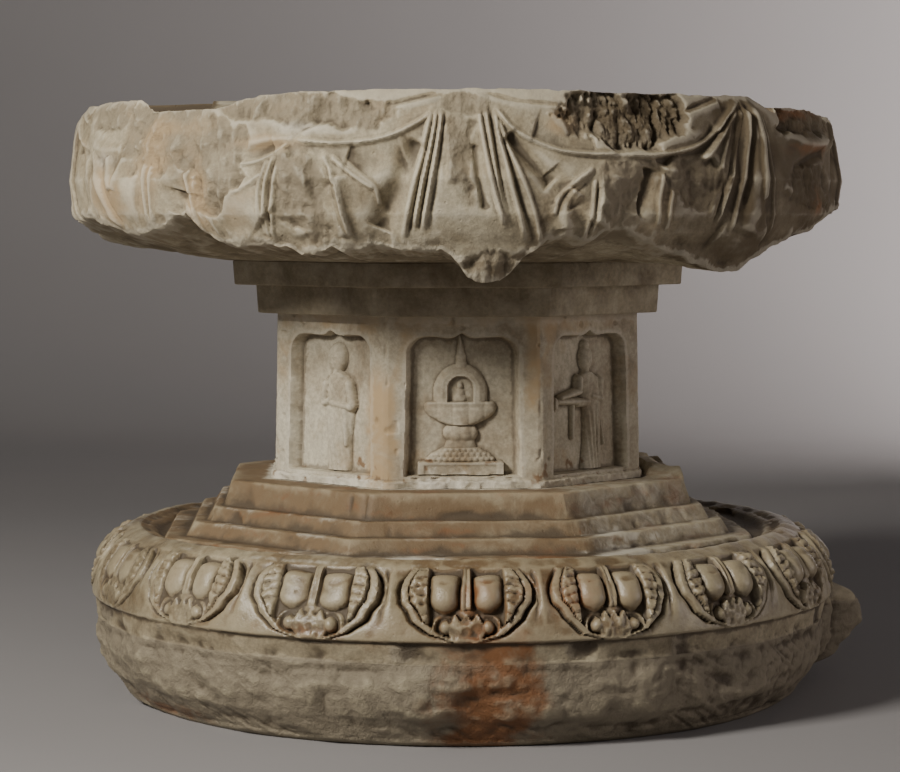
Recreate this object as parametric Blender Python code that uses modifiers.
# Carved stone pedestal in three blocks: a lotus base with an eight-sided stepped plinth,
# an eight-sided shaft with a niche on each side, and a round seat slab with carved drapery.
# Units are metres. The floor is z = 0, the middle of the stack is the Z axis, the front faces -Y.
import math
import bmesh
import bpy
import numpy as np

# Lotus base
foot_radius = 0.366
drum_radius = 0.409
rough_height = 0.089
fillet_height = 0.020
petal_height = 0.073
petal_reach = 0.060
crest_drop = 0.006
petal_count = 16
petal_relief = 0.013
drum_shift = 0.007
rough_relief = 0.006
lump_angle = 97
lump_half = 7
lump_reach = 0.054

# Stepped plinth on the base: apothem of each step's lower edge, its height and its lean
step_reaches = [0.2554, 0.2739, 0.2956, 0.3220]
step_heights = [0.0272, 0.0156, 0.0156, 0.0070]
step_lean = 0.0085

# Shaft
shaft_reach = 0.200
shaft_taper = 0.003
shaft_height = 0.181
mortar_height = 0.0075
mortar_reach = 0.005
niche_width = 0.122
niche_height = 0.147
niche_sill = 0.015
niche_depth = 0.014
figure_swell = 0.76
niche_corner = 0.016
niche_point = 0.006
front_cell = 0.0066
side_cell = 0.0105

# Seat slab: two upside-down steps, then the draped disc
under_reaches = [0.220, 0.245]
under_heights = [0.031, 0.026]
under_lean = 0.002
soffit_rise = 0.020
slab_height = 0.172
slab_radius = 0.420
rim_lean = 0.016
rim_belly = 0.006
rim_tuck = 0.024
seat_radius = 0.300
seat_drop = 0.003
fold_relief = 0.009
boss_relief = 0.014
break_relief = 0.012
rebate_low = (-0.352, -0.460)
rebate_high = (-0.262, -0.100)
rebate_depth = 0.019

joint_gap = 0.0003
embed = 0.010
side_count = 8
half_side = math.pi / side_count
corner_factor = 1 / math.cos(half_side)

# Heights of the joints between the blocks
plinth_height = sum(step_heights)
drum_top = rough_height + fillet_height + petal_height
plinth_foot = drum_top - crest_drop
plinth_top = plinth_foot + plinth_height
shaft_foot = plinth_top + joint_gap
shaft_top = shaft_foot + shaft_height
slab_foot = shaft_top + joint_gap
disc_foot = slab_foot + sum(under_heights)
slab_top = disc_foot + slab_height
top_radius = slab_radius - rim_lean


# Value noise on a cubic lattice, the same for the same points
def lattice_noise(points, cell, seed):
    table = np.random.default_rng(seed).random((32, 32, 32)) * 2 - 1
    scaled = points / cell + 500.0
    base = np.floor(scaled).astype(int)
    part = scaled - base
    part = part * part * (3 - 2 * part)
    total = np.zeros(len(points))
    for corner in range(8):
        step = np.array([corner & 1, corner >> 1 & 1, corner >> 2 & 1])
        weight = np.prod(np.where(step, part, 1 - part), axis=1)
        index = (base + step) % 32
        total += weight * table[index[:, 0], index[:, 1], index[:, 2]]
    return total


# 0 below the low edge, 1 above the high edge, smooth between them
def ramp(low, high, value):
    share = np.clip((value - low) / (high - low), 0, 1)
    return share * share * (3 - 2 * share)


# Signed difference of two angles in degrees, from -180 to 180
def turn(angle, centre):
    return (angle - centre + 180) % 360 - 180


def stone(name, colour, roughness):
    material = bpy.data.materials.new(name)
    material.use_nodes = True
    shader = material.node_tree.nodes["Principled BSDF"]
    shader.inputs["Base Color"].default_value = (*colour, 1)
    shader.inputs["Roughness"].default_value = roughness
    shader.inputs["Metallic"].default_value = 0
    return material


def read_points(mesh):
    flat = np.empty(len(mesh.vertices) * 3)
    mesh.vertices.foreach_get("co", flat)
    return flat.reshape(-1, 3)


def write_points(mesh, points):
    mesh.vertices.foreach_set("co", points.ravel())
    mesh.update()


# A profile of (radius, height) points, listed from the top of the axis down its outer side
def turned(name, profile, sides, collection, turn_by=0.0):
    mesh = bpy.data.meshes.new(name)
    points = [(radius * math.cos(turn_by), radius * math.sin(turn_by), height) for radius, height in profile]
    edges = [(index, index + 1) for index in range(len(points) - 1)]
    mesh.from_pydata(points, edges, [])
    piece = bpy.data.objects.new(name, mesh)
    collection.objects.link(piece)
    screw = piece.modifiers.new("Turn", "SCREW")
    screw.steps = sides
    screw.render_steps = sides
    screw.use_merge_vertices = True
    screw.merge_threshold = 0.0001
    screw.use_smooth_shade = False
    return piece


# Gives the object the mesh that its modifiers make, so that its points can be moved
def settle(piece):
    graph = bpy.context.evaluated_depsgraph_get()
    mesh = bpy.data.meshes.new_from_object(piece.evaluated_get(graph))
    piece.modifiers.clear()
    piece.data = mesh
    return mesh


def thin_out(piece, share):
    reducer = piece.modifiers.new("Thin", "DECIMATE")
    reducer.ratio = share


def combine(piece, other, operation):
    other.hide_render = True
    other.display_type = "WIRE"
    cut = piece.modifiers.new(other.name, "BOOLEAN")
    cut.operation = operation
    cut.solver = "EXACT"
    cut.object = other


# Evenly spaced points along straight lines between the given corners
def divided(corners, spacing):
    result = [corners[0]]
    for start, end in zip(corners[:-1], corners[1:]):
        count = max(1, round(math.dist(start, end) / spacing))
        for index in range(1, count + 1):
            share = index / count
            result.append(tuple(a + (b - a) * share for a, b in zip(start, end)))
    return result


# One lotus petal: u runs across it in half-petal widths, v from its tip (0) to its root (1)
def petal_form(u, v):
    side = np.abs(u)
    edge = 0.84 - 0.66 * (1 - ramp(-0.10, 0.42, v)) ** 2 - 0.22 * ramp(0.55, 1.0, v)
    rim = np.exp(-((side - edge + 0.12) / 0.12) ** 4)
    egg = np.sqrt(np.clip(1 - ((side - 0.27) / 0.21) ** 2 - ((v - 0.53) / 0.30) ** 2, 0, 1))
    rib = np.exp(-(side / 0.05) ** 2) * ramp(0.26, 0.40, v) * 0.6
    ball = np.sqrt(np.clip(1 - ((side - 0.27) / 0.13) ** 2 - ((v - 0.14) / 0.09) ** 2, 0, 1))
    leaf = np.exp(-(side / 0.13) ** 2 - ((v - 0.18) / 0.11) ** 2)
    trough = np.exp(-((side - edge - 0.07) / 0.06) ** 2)
    spear = np.exp(-((side - 1.0) / 0.10) ** 2) * (0.9 - 0.5 * v)
    forms = np.maximum.reduce([0.80 * rim, egg, rib, 0.75 * ball, 0.6 * leaf, 0.45 * spear])
    return forms - 0.30 * trough - 0.20


def carve_base(points):
    radius = np.hypot(points[:, 0], points[:, 1])
    angle = np.degrees(np.arctan2(points[:, 0], -points[:, 1]))
    height = points[:, 2].copy()
    fillet_top = rough_height + fillet_height
    pitch = 360 / petal_count
    across = turn(angle, pitch * np.round(angle / pitch)) / (pitch / 2)
    petal_share = np.degrees(np.arctan2((height - fillet_top) / petal_height,
                                        (radius - drum_radius + petal_reach) / petal_reach)) / 90
    on_petals = (height > fillet_top + 0.0005) & (radius > drum_radius - petal_reach - 0.001)
    worn = 0.75 + 0.35 * lattice_noise(points, 0.13, 3)
    relief = np.where(on_petals, petal_form(across, petal_share) * petal_relief * worn, 0)
    relief *= ramp(0, 0.06, petal_share) * ramp(1.0, 0.90, petal_share)
    rough = 1.0 * lattice_noise(points, 0.055, 5) + 0.6 * lattice_noise(points, 0.022, 6)
    on_rough = (height < rough_height - 0.001) & (height > 0.001)
    relief += np.where(on_rough, rough * rough_relief - 0.3 * rough_relief, 0)
    lump_side = ramp(lump_half + 4, lump_half - 1, np.abs(turn(angle, lump_angle)))
    lump_rise = ramp(0.55, 0.38, np.abs(height / (rough_height + fillet_height) - 0.58))
    relief += lump_reach * lump_side * lump_rise
    lift = np.where(on_petals, np.sin(np.radians(petal_share * 90)), 0)
    new_radius = radius + relief * (1 - 0.8 * lift)
    height += np.where(on_petals, relief * lift, 0)
    share = np.where(radius > 0, new_radius / np.maximum(radius, 1e-9), 1)
    moved = np.column_stack([points[:, 0] * share, points[:, 1] * share, height])
    moved[:, 0] += drum_shift * ramp(0.25, 0.36, radius)
    return moved


def step_profile():
    corners = [(0, plinth_top)]
    height = plinth_top
    for reach, rise in zip(step_reaches, step_heights):
        lean = min(step_lean, rise * 0.6)
        corners.append(((reach - lean) * corner_factor, height))
        height -= rise
        corners.append((reach * corner_factor, height))
    corners.append((step_reaches[-1] * corner_factor, height - embed))
    corners.append((0, height - embed))
    return corners


def make_base(parts, cutters):
    fillet_top = rough_height + fillet_height
    crest_radius = drum_radius - petal_reach
    petal_curve = []
    for index in range(25):
        arc = math.pi / 2 * (1 - index / 24)
        petal_curve.append((crest_radius + petal_reach * math.cos(arc), fillet_top + petal_height * math.sin(arc)))
    inner = [(0, plinth_foot), (crest_radius * 0.7, plinth_foot), (crest_radius - 3 * crest_drop, plinth_foot)]
    side = [(drum_radius, fillet_top), (drum_radius, rough_height), (drum_radius - 0.002, rough_height - 0.001),
            (drum_radius + 0.002, rough_height * 0.72), (drum_radius - 0.006, rough_height * 0.36),
            (foot_radius + 0.45 * (drum_radius - foot_radius), rough_height * 0.12), (foot_radius, 0)]
    under = [(foot_radius * 0.93, 0), (foot_radius * 0.5, 0), (0, 0)]
    profile = inner + petal_curve[:-1] + divided(side, 0.006) + under
    base = turned("lotus_base", profile, 576, parts)
    mesh = settle(base)
    write_points(mesh, carve_base(read_points(mesh)))
    thin_out(base, 0.052)
    plinth = turned("stepped_plinth", step_profile(), side_count, cutters, half_side)
    combine(base, plinth, "UNION")
    return base


# Height of an oval swelling over the panel's ground, and -1 outside it
def swell(u, z, middle_u, middle_z, half_u, half_z, rise):
    inside = 1 - ((u - middle_u) / half_u) ** 2 - ((z - middle_z) / half_z) ** 2
    return np.where(inside > 0, rise * np.sqrt(np.clip(inside, 0, 1)), -1)


# Height of a rounded bar from one point to another, with a radius at each end
def bar(u, z, start, end, start_half, end_half, rise):
    run_u, run_z = end[0] - start[0], end[1] - start[1]
    share = np.clip(((u - start[0]) * run_u + (z - start[1]) * run_z) / (run_u ** 2 + run_z ** 2), 0, 1)
    gap = np.hypot(u - start[0] - share * run_u, z - start[1] - share * run_z)
    half = start_half + (end_half - start_half) * share
    inside = 1 - (gap / half) ** 2
    return np.where(inside > 0, rise * np.sqrt(np.clip(inside, 0, 1)), -1)


def block(u, z, half_u, low_z, high_z, rise):
    return np.where((np.abs(u) < half_u) & (z > low_z) & (z < high_z), rise, -1)


# Reliefs in shares of the niche: u from its middle in niche heights, z from its sill
def reliquary(u, z):
    dome = swell(u, z, 0, 0.56, 0.205, 0.26, 0.095)
    door = swell(u, z, 0, 0.56, 0.085, 0.16, 0.10)
    dome = np.where((door > 0) & (z > 0.47), 0.045, dome)
    parts = [dome,
             bar(u, z, (0, 0.80), (0, 0.97), 0.040, 0.010, 0.06),
             np.where(z < 0.50, swell(u, z, 0, 0.50, 0.270, 0.15, 0.115), -1),
             swell(u, z, 0, 0.285, 0.125, 0.095, 0.095),
             np.where(z > 0.12, swell(u, z, 0, 0.10, 0.265, 0.14, 0.095), -1),
             block(u, z, 0.315, -0.02, 0.125, 0.085),
             swell(u, z, 0, 0.54, 0.035, 0.065, 0.080)]
    return np.maximum.reduce(parts)


# A standing robed figure; the sway moves the hips, the reach holds out one arm
def standing(u, z, sway, reach):
    parts = [swell(u, z, 0, 0.80, 0.092, 0.112, 0.105),
             bar(u, z, (0, 0.72), (0, 0.66), 0.045, 0.060, 0.07),
             swell(u, z, 0.01 + sway, 0.53, 0.155, 0.185, 0.105),
             bar(u, z, (0.01 + sway, 0.48), (0.02, 0.06), 0.140, 0.115, 0.095),
             block(u - 0.02, z, 0.125, -0.02, 0.03, 0.05)]
    if reach:
        parts.append(bar(u, z, (-0.08, 0.56), (-0.34, 0.50), 0.055, 0.050, 0.085))
        parts.append(swell(u, z, -0.37, 0.53, 0.060, 0.050, 0.075))
        parts.append(bar(u, z, (-0.17, 0.46), (-0.18, 0.17), 0.035, 0.025, 0.045))
        parts.append(bar(u, z, (0.15, 0.52), (0.20, 0.24), 0.045, 0.040, 0.060))
    return np.maximum.reduce(parts)


# A closed tablet sunk in the back of the niche, from which only the figure stands out
def relief_tablet(name, side, form, cell, collection):
    columns = round(niche_width * 0.96 / cell)
    rows = round(niche_height / cell)
    us = np.linspace(-0.48, 0.48, columns + 1) * niche_width
    zs = np.linspace(-0.01, 0.985, rows + 1) * niche_height
    grid_u, grid_z = np.meshgrid(us, zs)
    rise = form(grid_u / niche_height, grid_z / niche_height) * niche_height * figure_swell
    border = np.zeros_like(rise, dtype=bool)
    border[[0, -1], :] = True
    border[:, [0, -1]] = True
    sink = 0.002
    rise = np.where((rise < 0) | border, -sink, rise)
    reach = (shaft_reach - shaft_taper * 0.5) - niche_depth
    front = reach + rise
    back = np.full_like(front, reach - 0.012)
    centre = side * 2 * half_side
    points = []
    for depth in (front, back):
        x = grid_u * math.cos(centre) + depth * math.sin(centre)
        y = grid_u * math.sin(centre) - depth * math.cos(centre)
        points.append(np.column_stack([x.ravel(), y.ravel(), (grid_z + shaft_foot + niche_sill).ravel()]))
    count = grid_u.size
    wide = columns + 1
    faces = []
    for row in range(rows):
        for column in range(columns):
            a = row * wide + column
            faces.append((a, a + 1, a + 1 + wide, a + wide))
            faces.append((a + count, a + wide + count, a + 1 + wide + count, a + 1 + count))
    ring = [column for column in range(wide)]
    ring += [row * wide + columns for row in range(1, rows + 1)]
    ring += [rows * wide + column for column in range(columns - 1, -1, -1)]
    ring += [row * wide for row in range(rows - 1, 0, -1)]
    for start, end in zip(ring, ring[1:] + ring[:1]):
        faces.append((start, start + count, end + count, end))
    mesh = bpy.data.meshes.new(name)
    mesh.from_pydata([tuple(point) for point in np.vstack(points)], [], faces)
    tablet = bpy.data.objects.new(name, mesh)
    collection.objects.link(tablet)
    return tablet


# The outline of a niche: square foot, round shoulders and a small point in the middle of its head
def niche_outline():
    half = niche_width / 2
    shoulder = niche_height - niche_corner
    points = [(-half, 0), (half, 0)]
    for index in range(6):
        arc = math.pi / 2 * index / 5
        points.append((half - niche_corner + niche_corner * math.cos(arc), shoulder + niche_corner * math.sin(arc)))
    points.append((half * 0.35, niche_height - 0.002))
    points.append((0, niche_height + niche_point))
    points.append((-half * 0.35, niche_height - 0.002))
    for index in range(5, -1, -1):
        arc = math.pi / 2 * index / 5
        points.append((-half + niche_corner - niche_corner * math.cos(arc), shoulder + niche_corner * math.sin(arc)))
    return points


def niche_cutter(name, side, collection):
    outline = bpy.data.curves.new(name, "CURVE")
    outline.dimensions = "2D"
    outline.fill_mode = "BOTH"
    outline.extrude = niche_depth
    spline = outline.splines.new("POLY")
    corners = niche_outline()
    spline.points.add(len(corners) - 1)
    for point, (u, z) in zip(spline.points, corners):
        point.co = (u, z, 0, 1)
    spline.use_cyclic_u = True
    curve = bpy.data.objects.new(name, outline)
    collection.objects.link(curve)
    centre = side * 2 * half_side
    reach = shaft_reach - shaft_taper * 0.5
    curve.rotation_euler = (math.pi / 2, 0, centre)
    curve.location = (reach * math.sin(centre), -reach * math.cos(centre), shaft_foot + niche_sill)
    bpy.context.view_layer.update()
    graph = bpy.context.evaluated_depsgraph_get()
    mesh = bpy.data.meshes.new_from_object(curve.evaluated_get(graph))
    cutter = bpy.data.objects.new(name + "_cut", mesh)
    cutter.matrix_world = curve.matrix_world
    collection.objects.link(cutter)
    bpy.data.objects.remove(curve)
    weld = cutter.modifiers.new("Weld", "WELD")
    weld.merge_threshold = 0.0001
    return cutter


def make_shaft(parts, cutters):
    foot = (shaft_reach + mortar_reach) * corner_factor
    profile = [(0, shaft_top), ((shaft_reach - shaft_taper) * corner_factor, shaft_top),
               (shaft_reach * corner_factor, shaft_foot + mortar_height),
               (foot, shaft_foot + mortar_height * 0.7), (foot, shaft_foot), (0, shaft_foot)]
    shaft = turned("niche_shaft", profile, side_count, parts, half_side)
    poses = {0: None, 1: (0.03, True), 2: (0.0, False), 3: (0.03, True),
             4: None, 5: (-0.03, True), 6: (0.0, False), 7: (0.03, False)}
    for side in poses:
        combine(shaft, niche_cutter("niche_%d" % side, side, cutters), "DIFFERENCE")
    for side, pose in poses.items():
        form = reliquary if pose is None else (lambda u, z, pose=pose: standing(u, z, *pose))
        cell = front_cell if side in (7, 0, 1) else side_cell
        combine(shaft, relief_tablet("figure_%d" % side, side, form, cell, cutters), "UNION")
    return shaft


# Bundles of pleats hang from the rim at each gathering point, 40 degrees apart
gather_step = 40
gather_count = 9
# Height of the slab's lower edge above the disc's foot, at angles from the front
edge_angles = [-180, -160, -140, -120, -100, -80, -70, -57, -50, -43, -39, -31, -23, -12, -4, -1, 1, 3, 5, 7, 9,
               14, 20, 32, 37, 40, 45, 52, 62, 72, 90, 110, 130, 150, 165, 180]
edge_rises = [20, 30, 18, 32, 20, 40, 39, 26, 29, 48, 22, 17, 15, 22, 14, 18, 4, -13, -14, 2, 24,
              30, 32, 20, 2, -3, -4, 18, 44, 56, 34, 20, 32, 18, 30, 20]
# Drop of the slab's broken rim below its top
rim_angles = [-180, -120, -75, -64, -55, -52, -38, -35, -12, -8, 30, 46, 49, 58, 75, 92, 130, 180]
rim_drops = [1, 3, 6, 4, 5, 18, 19, 3, 3, 0, 0, 1, 10, 14, 24, 8, 2, 1]


def edge_height(angle):
    return disc_foot + np.interp(angle, edge_angles, edge_rises) * 0.001


# Shares of a fold that hangs as an arc between two points of the rim
def swag_fold(angle, height, start, end, sag, half):
    share = (angle - start[0]) / (end[0] - start[0])
    line = start[1] + (end[1] - start[1]) * share - sag * 4 * share * (1 - share)
    slope = (end[1] - start[1] - sag * 4 * (1 - 2 * share)) / (math.radians(end[0] - start[0]) * slab_radius)
    gap = (height - line) / np.sqrt(1 + slope ** 2)
    shape = np.exp(-(gap / half) ** 2)
    return np.where((share > 0) & (share < 1), shape, 0) * ramp(0, 0.08, share) * ramp(1, 0.92, share)


# A straight pleat from a point near the rim to a point near the lower edge
def pleat_fold(angle, height, start, end, half):
    share = (start[1] - height) / (start[1] - end[1])
    line = start[0] + (end[0] - start[0]) * share
    gap = np.radians(turn(angle, line)) * slab_radius
    return np.exp(-(gap / half) ** 2) * ramp(-0.02, 0.06, share) * ramp(1.05, 0.92, share)


def drapery(angle, height):
    top = slab_top
    folds = np.zeros_like(angle)
    tie_drop = 0.012
    pleat_drop = 0.84 * slab_height
    for index in range(gather_count):
        middle = index * gather_step
        near = turn(angle, middle)
        behind = 60 < middle < 300
        for spread in ((-1.0, 0.0, 1.0) if behind else (-0.6, 0.4)):
            foot = spread * 3.5 + (2.5 if middle == 40 else 0)
            folds += pleat_fold(near, height, (spread, top - tie_drop), (foot, top - pleat_drop), 0.0042)
        folds += 1.1 * swag_fold(near, height, (1.5, top - tie_drop), (gather_step - 1.5, top - tie_drop), 0.055, 0.006)
        folds += 0.8 * swag_fold(near, height, (2.5, top - tie_drop), (gather_step - 2.5, top - tie_drop), 0.030, 0.005)
        hollow = pleat_fold(near, height, (5, top - 0.03), (12, top - 0.11), 0.016)
        hollow += pleat_fold(near, height, (-5, top - 0.03), (-12, top - 0.11), 0.016)
        folds -= 0.9 * hollow
    bundles = [(-5.9, -8.9), (-4.9, -7.4), (-3.9, -5.9), (1.0, 4.5), (2.0, 6.8), (2.8, 9.4)]
    for start, foot in bundles:
        folds += 0.9 * pleat_fold(angle, height, (start, top - tie_drop), (foot, top - pleat_drop), 0.0042)
    return folds


def bosses(angle, height):
    total = np.zeros_like(angle)
    for index in range(gather_count):
        near = np.radians(turn(angle, (index + 0.5) * gather_step)) * slab_radius
        arch = ramp(0.062, 0.036, np.hypot(near, np.maximum(height - (slab_top - 0.108), 0)))
        total += arch
    return total


def carve_slab(points):
    radius = np.hypot(points[:, 0], points[:, 1])
    angle = np.degrees(np.arctan2(points[:, 0], -points[:, 1]))
    height = points[:, 2].copy()
    mean_edge = disc_foot + soffit_rise
    outer = radius > slab_radius - rim_tuck - 0.0005
    over_top = (height > slab_top - seat_drop - 1e-6) & (radius < top_radius - 0.001)
    on_rim = outer & (height >= mean_edge - 1e-6) & ~over_top
    on_soffit = (height < mean_edge - 1e-6) & (radius > under_reaches[-1] * 1.02)
    edge = edge_height(angle)
    drop = np.interp(angle, rim_angles, rim_drops) * 0.001
    local_top = slab_top - drop
    rim_share = (height - mean_edge) / (slab_top - mean_edge)
    height = np.where(on_rim, edge + (local_top - edge) * rim_share, height)
    inward = np.clip((radius - under_reaches[-1]) / (top_radius - under_reaches[-1]), 0, 1)
    hang = np.where(edge < disc_foot, ramp(0.30, 0.75, inward), inward ** 1.5)
    height = np.where(on_soffit, disc_foot + (edge - disc_foot) * hang, height)
    folded = drapery(angle, height) * fold_relief + bosses(angle, height) * boss_relief
    broken = ramp(-0.15, 0.30, lattice_noise(points, 0.10, 11))
    left_break = np.exp(-(turn(angle, -38) / 11) ** 2) * ramp(slab_top - 0.10, slab_top - 0.055, height)
    right_break = np.exp(-(turn(angle, 23) / 9) ** 2) * ramp(slab_top - 0.062, slab_top - 0.045, height)
    tip = ramp(0.035, 0.0, height - edge)
    rough = 0.7 * lattice_noise(points, 0.040, 12) + 0.5 * lattice_noise(points, 0.017, 13)
    loss = np.clip(left_break + right_break + 0.35 * tip + 0.25 * broken, 0, 1)
    relief = folded * (1 - 0.7 * loss) + rough * break_relief * (0.25 + 0.75 * loss)
    relief -= break_relief * (left_break + 1.3 * right_break)
    top_share = np.clip((radius - seat_radius) / (top_radius - seat_radius), 0, 1)
    height = np.where(over_top, slab_top - seat_drop + (seat_drop - drop) * top_share ** 0.6, height)
    relief = np.where(on_rim, relief, np.where(on_soffit, rough * break_relief * 0.4 * inward, 0))
    share = np.where(radius > 0, (radius + relief) / np.maximum(radius, 1e-9), 1)
    return np.column_stack([points[:, 0] * share, points[:, 1] * share, height])


# The sunk place at the left of the slab's top, open to the front where the rim is lost
def rebate_cutter(collection):
    blank = bmesh.new()
    bmesh.ops.create_cube(blank, size=1)
    mesh = bpy.data.meshes.new("rebate")
    blank.to_mesh(mesh)
    blank.free()
    unit = read_points(mesh) + 0.5
    low = np.array([*rebate_low, slab_top - rebate_depth])
    high = np.array([*rebate_high, slab_top + embed])
    write_points(mesh, low + unit * (high - low))
    cutter = bpy.data.objects.new("rebate", mesh)
    collection.objects.link(cutter)
    return cutter


def make_slab(parts, cutters):
    mean_edge = disc_foot + soffit_rise
    seat = [(0, slab_top - seat_drop), (seat_radius * 0.8, slab_top - seat_drop), (seat_radius, slab_top - seat_drop)]
    over = divided([seat[-1], (top_radius - 0.002, slab_top)], 0.012)[1:]
    rim = [(top_radius, slab_top), (slab_radius, slab_top - 0.25 * slab_height),
           (slab_radius + rim_belly, slab_top - 0.5 * slab_height),
           (slab_radius - 0.3 * rim_belly, slab_top - 0.72 * slab_height),
           (slab_radius - rim_tuck, mean_edge)]
    inner = (under_reaches[-1] * 1.01, disc_foot - 0.002)
    soffit = divided([(slab_radius - rim_tuck - 0.002, mean_edge - 0.0005), inner], 0.010)
    profile = seat + over + divided(rim, 0.004) + soffit + [(0, disc_foot - 0.002)]
    slab = turned("draped_slab", profile, 600, parts)
    mesh = settle(slab)
    write_points(mesh, carve_slab(read_points(mesh)))
    thin_out(slab, 0.037)
    corners = [(0, disc_foot + embed), (under_reaches[1] * corner_factor, disc_foot + embed)]
    corners.append((under_reaches[1] * corner_factor, disc_foot))
    corners.append(((under_reaches[1] - under_lean) * corner_factor, disc_foot - under_heights[1]))
    corners.append((under_reaches[0] * corner_factor, disc_foot - under_heights[1]))
    corners.append(((under_reaches[0] - under_lean) * corner_factor, slab_foot))
    corners.append((0, slab_foot))
    steps = turned("under_steps", corners, side_count, cutters, half_side)
    combine(slab, steps, "UNION")
    combine(slab, rebate_cutter(cutters), "DIFFERENCE")
    return slab


def main():
    for item in list(bpy.data.objects):
        bpy.data.objects.remove(item)
    parts = bpy.data.collections.new("Lotus pedestal")
    cutters = bpy.data.collections.new("Cutters")
    bpy.context.scene.collection.children.link(parts)
    bpy.context.scene.collection.children.link(cutters)
    base = make_base(parts, cutters)
    shaft = make_shaft(parts, cutters)
    slab = make_slab(parts, cutters)
    base.data.materials.append(stone("base_stone", (0.36, 0.30, 0.21), 0.75))
    shaft.data.materials.append(stone("shaft_stone", (0.50, 0.46, 0.38), 0.85))
    slab.data.materials.append(stone("slab_stone", (0.44, 0.38, 0.28), 0.80))


main()
